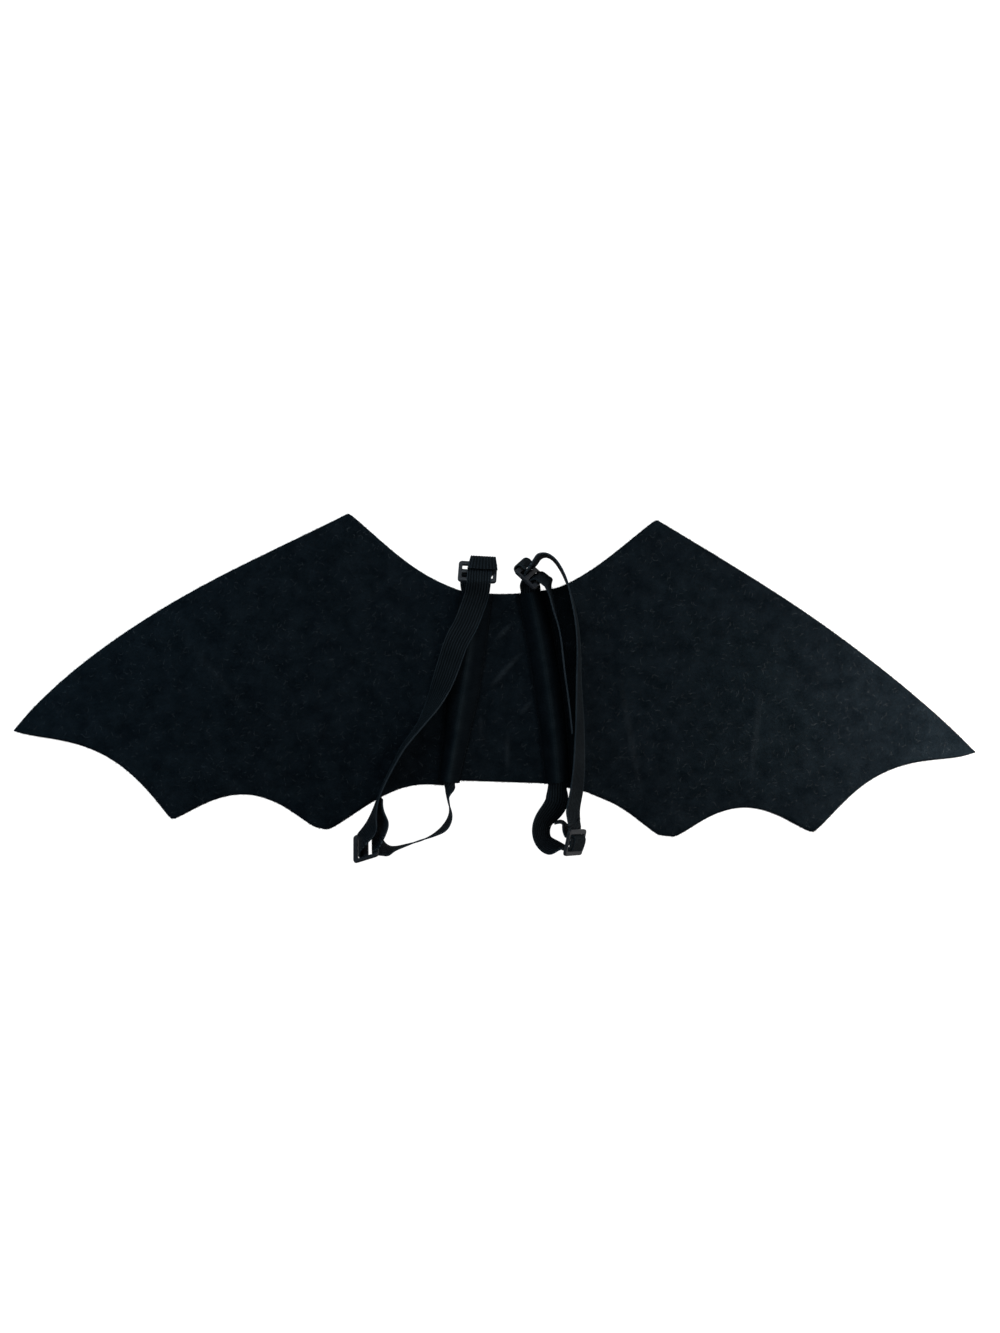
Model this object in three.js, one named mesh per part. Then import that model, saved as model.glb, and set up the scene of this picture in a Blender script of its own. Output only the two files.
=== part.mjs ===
// Costume bat wings, laid out flat with the wearer's side up.
// One felt panel carries two sewn sleeves. In each sleeve runs an elastic anchor strap, and plastic
// slides join its two ends to an elastic shoulder strap, so that each side is a loop for one arm.
// Millimetres, +Z up, the felt lies on Z = 0, +X to the right wing tip and +Y to the wearer's neck.
import * as THREE from "three";

// Driving dimensions
const WING_HALF_SPAN = 400;
const FELT_THICK = 2.0;
const TIP_BLUNT = 1.2; // height of the cut end of a wing tip
const CORNER_EASE = 2.0; // half the length over which the cut rounds off a corner
const COLUMN_STEP = 14; // longest step between two cross-sections of the panel
const PANEL_ROWS = 9;
const SEAM_GAP = 0.3; // between pieces that touch
const SLEEVE_WALL = 1.5;
const SLEEVE_HEM = 2.4; // sewn edge on each side of the tunnel
const SLEEVE_FULLNESS = 0.6; // how square the tunnel is: 0.5 is an ellipse
const SLEEVE_ROOM = 0.5; // between the tunnel's roof and the band in it
const SLEEVE_STEPS = 14;
const SLEEVE_ARCH_STEPS = 12;
const ELASTIC_WIDTH = 20;
const ELASTIC_THICK = 1.2;
const ELASTIC_ACROSS = 5;
const ELASTIC_STEP = 9; // longest step along a strap
const SLIDE_WIDTH = 32; // along its bars
const SLIDE_LENGTH = 22; // along the strap
const SLIDE_THICK = 2.6;
const SLIDE_BAR = 4.0;
const SLIDE_RAIL = 3.2; // at the ends of the bars
const SLIDE_CORNER = 3.0;
const SLIDE_EDGE = 0.45; // chamfer of the moulded edges

const UP = new THREE.Vector3(0, 0, 1);

// Upper and lower edge of the felt from left tip to right tip. A row is a corner and the stretch that
// leads to it: that stretch bows up by rise from a straight line, most at the share peak of its way,
// and the higher ease is, the more gently it leaves its corners.
const UPPER_EDGE = [
  { x: -WING_HALF_SPAN, y: -36.4, rise: 0, peak: 0.5, ease: 1 }, // left tip
  { x: -122.0, y: 145.0, rise: 22.7, peak: 0.37, ease: 1.27 }, // left peak
  { x: -30.9, y: 81.1, rise: -6.8, peak: 0.58, ease: 1.17 }, // neck
  { x: 54.3, y: 83.6, rise: -4.5, peak: 0.5, ease: 1 },
  { x: 134.6, y: 139.8, rise: -4.0, peak: 0.38, ease: 1.65 }, // right peak
  { x: WING_HALF_SPAN, y: -54.3, rise: 14.4, peak: 0.58, ease: 0.9 }, // right tip
];
const LOWER_EDGE = [
  { x: -WING_HALF_SPAN, y: -36.4, rise: 0, peak: 0.5, ease: 1 }, // left tip
  { x: -269.2, y: -110.4, rise: 21.5, peak: 0.58, ease: 1.1 }, // left outer point
  { x: -148.8, y: -117.4, rise: 24.0, peak: 0.51, ease: 1.29 }, // left inner point
  { x: -138.8, y: -118.9, rise: 0, peak: 0.5, ease: 1 },
  { x: -41.0, y: -82.4, rise: 11.6, peak: 0.58, ease: 1.2 }, // back panel
  { x: -32.6, y: -78.2, rise: 0, peak: 0.5, ease: 1 },
  { x: 45.1, y: -80.7, rise: 0, peak: 0.5, ease: 1 },
  { x: 77.7, y: -88.2, rise: 0, peak: 0.5, ease: 1 },
  { x: 136.3, y: -123.6, rise: 3.8, peak: 0.46, ease: 1.9 }, // right inner point
  { x: 148.8, y: -125.0, rise: 0, peak: 0.5, ease: 1 },
  { x: 265.0, y: -121.2, rise: 22.2, peak: 0.5, ease: 1.4 }, // right outer point
  { x: WING_HALF_SPAN, y: -54.3, rise: 20.0, peak: 0.44, ease: 1.7 }, // right tip
];

// Where the lying felt lifts off the surface: a soft swell of this height, fading out at its reach.
const SWELLS = [
  { x: -400, y: -36, reach: 150, height: 5.5 }, // left tip
  { x: 400, y: -54, reach: 120, height: 4.0 }, // right tip
  { x: -130, y: 150, reach: 95, height: 4.5 }, // left peak
  { x: 140, y: 145, reach: 80, height: 3.0 }, // right peak
  { x: -272, y: -112, reach: 75, height: 5.0 }, // left outer point
  { x: -146, y: -122, reach: 45, height: 2.5 }, // left inner point
  { x: 266, y: -122, reach: 65, height: 4.0 }, // right outer point
  { x: 143, y: -128, reach: 45, height: 2.5 }, // right inner point
  { x: -225, y: 20, reach: 85, height: 2.2 }, // middle of the left wing
  { x: 235, y: 5, reach: 85, height: 1.8 }, // middle of the right wing
];

// Sleeves: middle line from neck end to hem end, bowed sideways at half way, and sections along it.
// A section has half the width of the strip, the clear rise of its tunnel and the arch of the band
// in it, in degrees.
const SLEEVES = {
  left: {
    top: { x: -15.5, y: 77.5 },
    hem: { x: -38.6, y: -78.8 },
    bow: 0.8,
    sections: [
      { share: 0, half: 14.0, rise: 5.6, curl: 80 },
      { share: 0.5, half: 14.5, rise: 5.6, curl: 80 },
      { share: 0.8, half: 11.2, rise: 7.6, curl: 158 },
      { share: 1, half: 9.2, rise: 9.2, curl: 236 },
    ],
  },
  right: {
    top: { x: 29.7, y: 78.4 },
    hem: { x: 52.3, y: -79.4 },
    bow: 3.2,
    sections: [
      { share: 0, half: 12.0, rise: 7.0, curl: 132 },
      { share: 0.5, half: 12.6, rise: 6.7, curl: 122 },
      { share: 1, half: 11.4, rise: 7.5, curl: 152 },
    ],
  },
};

// Slides: centre, heading of the bars, pitch of the bars (positive lifts the end that the heading
// points to), heading of the far bar, the one away from the straps, and tip of that bar towards the
// slide's face. Angles in degrees.
const SLIDES = {
  top_left: { x: -14.4, y: 95.2, z: 11.4, bars: -3, pitch: 0, far: 87, tip: -38 },
  bottom_left: { x: -106.4, y: -131.0, z: 15.2, bars: -82, pitch: 54, far: 203, tip: 0 },
  top_right: { x: 29.2, y: 92.8, z: 15.6, bars: 47, pitch: -62, far: 138, tip: 0 },
  bottom_right: { x: 66.0, y: -128.0, z: 16.0, bars: -10, pitch: -61, far: 258, tip: 0 },
};

// Ways round the bars of a slide, as steps of [v, w]: v runs from near bar to far bar and w out of the
// slide's face.
const WAYS = {
  // from behind round the far bar in a loose roll
  roll_on_far_bar: [
    [-6, -7.4], [0, -5.8], [8, -4.7], [13, -3.2], [15.2, 0.2],
    [14.2, 3.8], [10.8, 5.7], [7.2, 5.7], [3.4, 5.1], [-0.6, 4.7],
  ],
  // over the near bar and down round the middle bar, with the sewn end behind
  round_middle_bar: [
    [-13, 2.2], [-9.5, 2.7], [-4, 2.6], [0, 2.6], [2.6, 1.9], [3.3, 0],
    [2.6, -1.8], [0, -2.5], [-2.6, -2.3], [-5, -2.2],
  ],
  // from behind round the far bar, with the sewn end on top
  round_far_bar: [
    [0.5, -4.6], [5, -4.2], [9, -3.8], [12.4, -2.4], [13.4, 0.4], [12.2, 3.2], [9.4, 4.4], [6.9, 4.0],
  ],
  // over the near bar, behind the middle bar and out through the far slot
  through_both_slots: [
    [-15.5, 4.6], [-12, 4.4], [-9, 4.3], [-5.4, 3.5], [-3.6, 0.8], [-2.6, -1.8], [0, -2.5],
    [2.6, -1.8], [3.6, 0.6], [4.3, 2.8], [4.7, 5.4],
  ],
  // into the far slot and round the middle bar, where the end is sewn
  far_slot_and_middle_bar: [
    [-1.5, -9.5], [2.6, -6.4], [4.8, -3.4], [5.4, -0.8], [4.6, 1.6], [2.2, 2.7], [-0.8, 2.6],
  ],
  // round the near bar from behind, up through the near slot and back out in front
  round_near_bar: [
    [-12.8, 4.8], [-9.6, 3.0], [-7.4, 2.5], [-6.1, 1.4], [-5.9, 0],
    [-6.1, -1.4], [-7.4, -2.6], [-9.6, -3.1], [-12.4, -4.0], [-14.8, -6.0],
  ],
  // up through the far slot, over the middle bar and back out through the near slot
  middle_bar_and_back: [
    [6.2, 6.6], [6.1, 3.4], [5.9, 1.0], [5.0, -1.2], [2, -2.7],
    [-1.6, -2.7], [-3.6, -1.4], [-4, 0.9], [-4.2, 4.5],
  ],
  // behind the near bar, with the sewn end in the near slot
  behind_near_bar: [
    [-15, 3.2], [-12, 3.0], [-9.5, 2.7], [-7.4, 2.5], [-6.1, 1.4], [-5.7, 0], [-5.6, -1.0],
  ],
};

// Place, width and tunnel of a sleeve at a share of its length
function sleeveAt(side, share) {
  const { top, hem, bow, sections } = SLEEVES[side];
  const k = Math.max(1, sections.findIndex((section) => section.share >= share));
  const [a, b] = [sections[k - 1], sections[k]];
  const between = (share - a.share) / (b.share - a.share);
  const mix = (key) => THREE.MathUtils.lerp(a[key], b[key], between);
  const run = new THREE.Vector2(hem.x - top.x, hem.y - top.y);
  const cross = new THREE.Vector2(-run.y, run.x).normalize();
  const aside = 4 * bow * share * (1 - share);
  return {
    x: top.x + run.x * share + cross.x * aside,
    y: top.y + run.y * share + cross.y * aside,
    cross,
    half: mix("half"),
    rise: mix("rise"),
    curl: mix("curl"),
  };
}

// Rows of a strap: points in a sleeve, and a way through a slide, moved aside along its bars
const ROWS_IN_SLEEVE = [0, 0.06, 0.25, 0.5, 0.65, 0.8, 0.94, 1];
const inSleeve = (side) =>
  ROWS_IN_SLEEVE.map((share) => {
    const { x, y, rise, curl } = sleeveAt(side, share);
    return { x, y, z: FELT_THICK + SEAM_GAP + rise - SLEEVE_ROOM - ELASTIC_THICK / 2, lean: 0, curl };
  });
const threaded = (slide, way, aside = 0) => WAYS[way].map(([v, w]) => ({ slide, v, w, aside }));

// Straps, row by row along the band. A point of the middle line has x, y and z, a lean about the run of
// the band, 0 flat and 90 on edge with its left edge up, and a curl across it, all in degrees.
const STRAPS = {
  anchor_strap_left: [
    ...threaded("top_left", "roll_on_far_bar", 3.2).reverse(),
    { x: -18.6, y: 84.6, z: 6.4, lean: 0, curl: 20 },
    { x: -16.2, y: 80.8, z: 5.8, lean: 0, curl: 72 },
    ...inSleeve("left"),
    { x: -40.0, y: -82.8, z: 11.0, lean: 30, curl: 240 },
    { x: -41.4, y: -86.6, z: 11.0, lean: 80, curl: 190 },
    { x: -40.2, y: -91.2, z: 11.2, lean: 90, curl: 90 },
    { x: -38.0, y: -97.0, z: 11.2, lean: 88, curl: 0 },
    { x: -36.4, y: -105.4, z: 11.0, lean: 82, curl: 0 },
    { x: -40.5, y: -115.4, z: 11.0, lean: 78, curl: 0 },
    { x: -50.5, y: -122.4, z: 11.0, lean: 90, curl: 0 },
    { x: -62.1, y: -127.2, z: 11.0, lean: 97, curl: 0 },
    { x: -74.5, y: -131.2, z: 11.2, lean: 92, curl: 0 },
    { x: -82.5, y: -133.6, z: 11.6, lean: 88, curl: 0 },
    { x: -88.6, y: -134.4, z: 12.8, lean: 78, curl: 0 },
    ...threaded("bottom_left", "round_near_bar", 2),
    { x: -92.4, y: -113.0, z: 15.4, lean: -64, curl: 0 },
    { x: -94.2, y: -105.5, z: 13.4, lean: -68, curl: 0 },
    { x: -94.8, y: -98.5, z: 12.8, lean: -76, curl: 0 },
    { x: -93.4, y: -92.0, z: 12.6, lean: -84, curl: 0 },
  ],
  shoulder_strap_left: [
    ...threaded("top_left", "round_middle_bar", 1.6).reverse(),
    { x: -14.8, y: 77.0, z: 13.8, lean: 0, curl: 0 },
    { x: -18.2, y: 67.0, z: 12.0, lean: 2, curl: 0 },
    { x: -24.0, y: 52.0, z: 11.8, lean: 5, curl: 0 },
    { x: -31.6, y: 38.0, z: 11.8, lean: 10, curl: 0 },
    { x: -42.0, y: 8.0, z: 10.6, lean: 26, curl: 0 },
    { x: -50.2, y: -11.6, z: 10.4, lean: 44, curl: 0 },
    { x: -62.7, y: -32.4, z: 11.6, lean: 64, curl: 0 },
    { x: -75.6, y: -49.0, z: 12.4, lean: 77, curl: 0 },
    { x: -84.6, y: -65.7, z: 12.6, lean: 83, curl: 0 },
    { x: -92.8, y: -82.4, z: 12.6, lean: 84, curl: 0 },
    { x: -97.2, y: -94.0, z: 12.6, lean: 83, curl: 0 },
    { x: -99.6, y: -103.0, z: 12.8, lean: 77, curl: 0 },
    { x: -101.6, y: -110.5, z: 13.8, lean: 68, curl: 0 },
    { x: -103.8, y: -117.0, z: 16.4, lean: 58, curl: 0 },
    ...threaded("bottom_left", "far_slot_and_middle_bar"),
  ],
  anchor_strap_right: [
    ...threaded("top_right", "round_far_bar", 2).reverse(),
    { x: 29.0, y: 86.4, z: 12.0, lean: -34, curl: 60 },
    { x: 30.2, y: 81.4, z: 9.0, lean: -6, curl: 126 },
    ...inSleeve("right"),
    { x: 51.9, y: -85.0, z: 8.6, lean: -2, curl: 160 },
    { x: 51.0, y: -90.0, z: 8.2, lean: -6, curl: 140 },
    { x: 49.2, y: -96.5, z: 7.4, lean: -12, curl: 40 },
    { x: 45.2, y: -103.5, z: 7.6, lean: -24, curl: 10 },
    { x: 40.6, y: -110.0, z: 8.2, lean: -36, curl: 0 },
    { x: 38.1, y: -119.2, z: 8.6, lean: -42, curl: 0 },
    { x: 40.2, y: -128.0, z: 9.4, lean: -48, curl: 0 },
    { x: 47.0, y: -132.8, z: 10.6, lean: -54, curl: 0 },
    ...threaded("bottom_right", "middle_bar_and_back", -1.6),
    { x: 58.6, y: -115.2, z: 11.6, lean: 64, curl: 0 },
    { x: 54.6, y: -111.4, z: 11.2, lean: 80, curl: 0 },
    { x: 49.0, y: -112.6, z: 11.2, lean: 94, curl: 0 },
  ],
  shoulder_strap_right: [
    { x: 63.9, y: -38.0, z: 12.6, lean: 88, curl: 0 },
    { x: 61.3, y: -13.9, z: 12.6, lean: 88, curl: 0 },
    { x: 57.9, y: 11.0, z: 12.6, lean: 88, curl: 0 },
    { x: 53.6, y: 45.7, z: 12.6, lean: 88, curl: 0 },
    { x: 48.8, y: 65.4, z: 12.8, lean: 82, curl: 0 },
    { x: 46.2, y: 77.0, z: 13.6, lean: 80, curl: 0 },
    { x: 44.2, y: 83.4, z: 15.0, lean: 76, curl: 0 },
    ...threaded("top_right", "through_both_slots", 2.4),
    { x: 33.8, y: 104.4, z: 14.0, lean: 72, curl: 0 },
    { x: 38.0, y: 108.2, z: 12.4, lean: 82, curl: 0 },
    { x: 42.8, y: 109.4, z: 11.4, lean: 88, curl: 0 },
    { x: 47.9, y: 106.8, z: 11.2, lean: 90, curl: 0 },
    { x: 52.6, y: 101.2, z: 11.3, lean: 92, curl: 0 },
    { x: 56.6, y: 94.0, z: 11.8, lean: 93, curl: 0 },
    { x: 60.0, y: 85.6, z: 12.6, lean: -86, curl: 0 },
    { x: 63.7, y: 73.0, z: 12.6, lean: -84, curl: 0 },
    { x: 67.6, y: 53.9, z: 12.6, lean: -82, curl: 0 },
    { x: 69.4, y: 32.4, z: 12.6, lean: -80, curl: 0 },
    { x: 69.4, y: 5.9, z: 12.6, lean: -77, curl: 0 },
    { x: 70.2, y: -31.3, z: 12.4, lean: -68, curl: 0 },
    { x: 69.4, y: -68.5, z: 11.6, lean: -60, curl: 0 },
    { x: 68.2, y: -86.0, z: 11.4, lean: -60, curl: 0 },
    { x: 65.4, y: -103.0, z: 11.8, lean: -64, curl: 0 },
    ...threaded("bottom_right", "behind_near_bar", -2.4),
  ],
};

// Materials
const felt = () => new THREE.MeshStandardMaterial({ color: 0x0d1115, roughness: 0.97, metalness: 0 });
const sleeveCloth = () => new THREE.MeshStandardMaterial({ color: 0x0b0f13, roughness: 0.9, metalness: 0 });
const elastic = () => new THREE.MeshStandardMaterial({ color: 0x0f1317, roughness: 0.8, metalness: 0 });
const plastic = () => new THREE.MeshStandardMaterial({ color: 0x14171b, roughness: 0.45, metalness: 0 });

// A closed sheet between two equal grids of points, over[i][j] and under[i][j]
function sheetBetween(over, under) {
  const rows = over.length;
  const columns = over[0].length;
  const points = [...over.flat(), ...under.flat()];
  const top = (i, j) => i * columns + j;
  const base = (i, j) => rows * columns + top(i, j);
  const index = [];
  const quad = (a, b, c, d) => index.push(a, b, c, a, c, d);
  for (let i = 0; i + 1 < rows; i++) {
    for (let j = 0; j + 1 < columns; j++) {
      quad(top(i, j), top(i + 1, j), top(i + 1, j + 1), top(i, j + 1));
      quad(base(i, j), base(i, j + 1), base(i + 1, j + 1), base(i + 1, j));
    }
    quad(top(i, 0), base(i, 0), base(i + 1, 0), top(i + 1, 0));
    quad(top(i + 1, columns - 1), base(i + 1, columns - 1), base(i, columns - 1), top(i, columns - 1));
  }
  for (let j = 0; j + 1 < columns; j++) {
    quad(top(0, j + 1), base(0, j + 1), base(0, j), top(0, j));
    quad(top(rows - 1, j), base(rows - 1, j), base(rows - 1, j + 1), top(rows - 1, j + 1));
  }
  const geometry = new THREE.BufferGeometry().setFromPoints(points).setIndex(index);
  geometry.computeVertexNormals();
  return geometry;
}

// Height of an edge of the felt at x
function edgeHeight(edge, x) {
  const at = THREE.MathUtils.clamp(x, -WING_HALF_SPAN, WING_HALF_SPAN);
  const k = Math.max(1, edge.findIndex((corner) => corner.x >= at));
  const [a, b] = [edge[k - 1], edge[k]];
  const share = (at - a.x) / (b.x - a.x);
  const shifted = share ** (Math.log(0.5) / Math.log(b.peak));
  return THREE.MathUtils.lerp(a.y, b.y, share) + b.rise * (4 * shifted * (1 - shifted)) ** b.ease;
}
const easedEdge = (edge, x) =>
  (edgeHeight(edge, x - CORNER_EASE) + 2 * edgeHeight(edge, x) + edgeHeight(edge, x + CORNER_EASE)) / 4;

// How far the felt lies above the surface at a place
function lift(x, y) {
  return SWELLS.reduce((sum, swell) => {
    const share = Math.hypot(x - swell.x, y - swell.y) / swell.reach;
    return share < 1 ? sum + swell.height * (1 - share * share) ** 2 : sum;
  }, 0);
}

// Places of the panel's cross-sections: every corner, and steps between them
function panelColumns() {
  const places = new Set([...UPPER_EDGE, ...LOWER_EDGE].map((corner) => corner.x));
  const corners = [...places].sort((a, b) => a - b);
  const columns = [corners[0]];
  for (let k = 1; k < corners.length; k++) {
    const steps = Math.ceil((corners[k] - corners[k - 1]) / COLUMN_STEP);
    for (let s = 1; s <= steps; s++) {
      columns.push(THREE.MathUtils.lerp(corners[k - 1], corners[k], s / steps));
    }
  }
  return columns;
}

function wingPanel() {
  const over = [];
  const under = [];
  for (const x of panelColumns()) {
    const middle = (easedEdge(UPPER_EDGE, x) + easedEdge(LOWER_EDGE, x)) / 2;
    const half = Math.max(TIP_BLUNT, easedEdge(UPPER_EDGE, x) - easedEdge(LOWER_EDGE, x)) / 2;
    const column = Array.from({ length: PANEL_ROWS + 1 }, (_, j) => {
      const y = middle + half * ((2 * j) / PANEL_ROWS - 1);
      return new THREE.Vector3(x, y, lift(x, y));
    });
    under.push(column);
    over.push(column.map((p) => p.clone().setZ(p.z + FELT_THICK)));
  }
  return sheetBetween(over, under);
}

// A strip of cloth that arches over the anchor strap, sewn down along both edges
function sleeve(side) {
  const over = [];
  const under = [];
  for (let i = 0; i <= SLEEVE_STEPS; i++) {
    const { x, y, cross, half, rise } = sleeveAt(side, i / SLEEVE_STEPS);
    const foot = half - SLEEVE_HEM;
    const arch = Array.from({ length: SLEEVE_ARCH_STEPS + 1 }, (_, j) => {
      const across = -foot * Math.cos((Math.PI * j) / SLEEVE_ARCH_STEPS);
      const height = rise * Math.max(0, 1 - (across / foot) ** 2) ** SLEEVE_FULLNESS;
      return { across, height };
    });
    const profile = [{ across: -half, height: 0 }, ...arch, { across: half, height: 0 }];
    const at = (across, height) =>
      new THREE.Vector3(x + cross.x * across, y + cross.y * across, FELT_THICK + SEAM_GAP + height);
    under.push(profile.map(({ across, height }) => at(across, height)));
    over.push(
      profile.map(({ across, height }, j) => {
        const a = profile[Math.max(0, j - 1)];
        const b = profile[Math.min(profile.length - 1, j + 1)];
        const out = new THREE.Vector2(a.height - b.height, b.across - a.across).normalize();
        return at(across + SLEEVE_WALL * out.x, height + SLEEVE_WALL * out.y);
      }),
    );
  }
  return sheetBetween(over, under);
}

// Axes of a slide: along its bars, from near to far bar, and out of its upper face
function slideAxes(name) {
  const { x, y, z, bars, pitch, far, tip } = SLIDES[name];
  const [b, p, f, t] = [bars, pitch, far, tip].map(THREE.MathUtils.degToRad);
  const along = new THREE.Vector3(Math.cos(b) * Math.cos(p), Math.sin(b) * Math.cos(p), Math.sin(p));
  const reach = new THREE.Vector3(Math.cos(f), Math.sin(f), 0);
  reach.addScaledVector(along, -reach.dot(along)).normalize().applyAxisAngle(along, t);
  return { centre: new THREE.Vector3(x, y, z), along, reach, face: along.clone().cross(reach) };
}

function roundedRectangle(width, length, radius) {
  const [w, h, r] = [width / 2, length / 2, radius];
  return new THREE.Shape()
    .moveTo(w, -h + r)
    .lineTo(w, h - r)
    .absarc(w - r, h - r, r, 0, Math.PI / 2)
    .absarc(-w + r, h - r, r, Math.PI / 2, Math.PI)
    .absarc(-w + r, -h + r, r, Math.PI, 1.5 * Math.PI)
    .absarc(w - r, -h + r, r, 1.5 * Math.PI, 2 * Math.PI);
}

// A three-bar strap slide with two slots
function slide() {
  const outline = roundedRectangle(SLIDE_WIDTH, SLIDE_LENGTH, SLIDE_CORNER);
  const slotWidth = SLIDE_WIDTH - 2 * SLIDE_RAIL;
  const slotLength = (SLIDE_LENGTH - 3 * SLIDE_BAR) / 2;
  for (const side of [-1, 1]) {
    const middle = (side * (slotLength + SLIDE_BAR)) / 2;
    const slot = new THREE.Path();
    const corners = [[1, 1], [-1, 1], [-1, -1], [1, -1]];
    slot.setFromPoints(
      corners.map(([sx, sy]) => new THREE.Vector2((sx * slotWidth) / 2, middle + (sy * slotLength) / 2)),
    );
    slot.closePath();
    outline.holes.push(slot);
  }
  return new THREE.ExtrudeGeometry(outline, {
    depth: SLIDE_THICK - 2 * SLIDE_EDGE,
    curveSegments: 3,
    bevelThickness: SLIDE_EDGE,
    bevelSize: SLIDE_EDGE,
    bevelOffset: -SLIDE_EDGE,
    bevelSegments: 1,
  }).translate(0, 0, SLIDE_EDGE - SLIDE_THICK / 2);
}

function placedSlide(name) {
  const { centre, along, reach, face } = slideAxes(name);
  const mesh = new THREE.Mesh(slide(), plastic());
  mesh.name = `slide_${name}`;
  mesh.position.copy(centre);
  mesh.quaternion.setFromRotationMatrix(new THREE.Matrix4().makeBasis(along, reach, face));
  return mesh;
}

// Middle line of a strap through its rows, with the way the band lies across it at each row
function strapRoute(rows) {
  const points = rows.map((row) => {
    if (!row.slide) return new THREE.Vector3(row.x, row.y, row.z);
    const { centre, along, reach, face } = slideAxes(row.slide);
    centre.addScaledVector(along, row.aside);
    return centre.addScaledVector(reach, row.v).addScaledVector(face, row.w);
  });
  const line = new THREE.CatmullRomCurve3(points, false, "centripetal");
  const across = [];
  rows.forEach((row, k) => {
    let way;
    if (row.slide) {
      way = slideAxes(row.slide).along.clone();
    } else {
      const run = line.getTangent(k / (rows.length - 1));
      const level = UP.clone().cross(run).normalize();
      const lean = THREE.MathUtils.degToRad(row.lean);
      way = level.multiplyScalar(Math.cos(lean)).addScaledVector(UP, Math.sin(lean));
    }
    if (k && way.dot(across[k - 1]) < 0) way.negate();
    across.push(way);
  });
  return { points, line, across };
}

// An elastic band swept along its route
function strap(rows) {
  const { points, line, across } = strapRoute(rows);
  const over = [];
  const under = [];
  for (let k = 0; k + 1 < rows.length; k++) {
    const steps = Math.max(1, Math.ceil(points[k].distanceTo(points[k + 1]) / ELASTIC_STEP));
    const last = k + 2 === rows.length ? steps : steps - 1;
    for (let s = 0; s <= last; s++) {
      const share = s / steps;
      const at = (k + share) / (rows.length - 1);
      const middle = line.getPoint(at);
      const run = line.getTangent(at);
      const way = across[k].clone().lerp(across[k + 1], share);
      way.addScaledVector(run, -way.dot(run)).normalize();
      const face = run.clone().cross(way);
      const curl = THREE.MathUtils.lerp(rows[k].curl ?? 0, rows[k + 1].curl ?? 0, share);
      const bend = Math.sign(face.z) * THREE.MathUtils.degToRad(curl);
      const section = Array.from({ length: ELASTIC_ACROSS + 1 }, (_, j) => {
        const place = ELASTIC_WIDTH * (j / ELASTIC_ACROSS - 0.5);
        const turn = bend * (j / ELASTIC_ACROSS - 0.5);
        const sideways = bend ? (ELASTIC_WIDTH / bend) * Math.sin(turn) : place;
        const down = bend ? (ELASTIC_WIDTH / bend) * (1 - Math.cos(turn)) : 0;
        const point = middle.clone().addScaledVector(way, sideways).addScaledVector(face, -down);
        const out = face.clone().multiplyScalar(Math.cos(turn)).addScaledVector(way, Math.sin(turn));
        return { point, out };
      });
      over.push(section.map(({ point, out }) => point.clone().addScaledVector(out, ELASTIC_THICK / 2)));
      under.push(section.map(({ point, out }) => point.clone().addScaledVector(out, -ELASTIC_THICK / 2)));
    }
  }
  return sheetBetween(over, under);
}

function named(name, geometry, material) {
  const mesh = new THREE.Mesh(geometry, material);
  mesh.name = name;
  return mesh;
}

const wings = new THREE.Group();
wings.add(named("wing_panel", wingPanel(), felt()));
for (const side of Object.keys(SLEEVES)) {
  wings.add(named(`strap_sleeve_${side}`, sleeve(side), sleeveCloth()));
}
for (const name of Object.keys(SLIDES)) wings.add(placedSlide(name));
for (const [name, rows] of Object.entries(STRAPS)) wings.add(named(name, strap(rows), elastic()));

export default wings;
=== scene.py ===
# Costume bat wings of black felt, laid out flat with the wearer's side and its straps up.
# Lengths in the tables are millimetres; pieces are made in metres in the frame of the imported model.
import math
import random

import bpy
import numpy as np
from mathutils import Matrix, Vector, noise


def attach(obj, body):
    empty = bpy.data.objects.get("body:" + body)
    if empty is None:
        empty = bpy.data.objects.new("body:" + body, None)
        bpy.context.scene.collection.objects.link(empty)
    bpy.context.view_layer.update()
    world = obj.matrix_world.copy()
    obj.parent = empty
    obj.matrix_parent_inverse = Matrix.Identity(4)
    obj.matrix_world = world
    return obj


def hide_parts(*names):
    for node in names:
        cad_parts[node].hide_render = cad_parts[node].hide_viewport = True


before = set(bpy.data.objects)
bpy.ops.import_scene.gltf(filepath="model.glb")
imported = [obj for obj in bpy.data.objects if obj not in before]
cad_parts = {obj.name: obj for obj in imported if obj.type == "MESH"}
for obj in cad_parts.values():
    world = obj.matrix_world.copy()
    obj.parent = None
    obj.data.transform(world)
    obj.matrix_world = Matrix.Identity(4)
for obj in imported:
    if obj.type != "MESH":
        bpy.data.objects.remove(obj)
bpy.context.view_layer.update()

MM = 0.001

# Felt
WING_HALF_SPAN = 400
FELT_THICK = 2.0
TIP_BLUNT = 1.2
CORNER_EASE = 2.0
FELT_STEP = 3.2
FELT_ROWS = 78
CUT_EDGE = 0.8  # width of the soft rim along the cut
CUT_SOFT = 0.45  # how much of the thickness is left at the very edge
RIM_SHARE = 0.08  # widest rim as a share of the felt's depth
RIM_SOFT = 0.94  # share of the thickness one row inside the edge
RIPPLE = 0.45  # height of the slow unevenness of the lying felt
RIPPLE_LENGTH = 55
RIPPLE_SEED = 3.1
RIPPLE_START, RIPPLE_FULL = 60, 160  # it grows from the middle of the wings outwards
CREASE_END = 0.35  # height of a crease at its ends as a share of that at its middle
FELT_UV_DEPTH = 0.29  # metres

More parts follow.
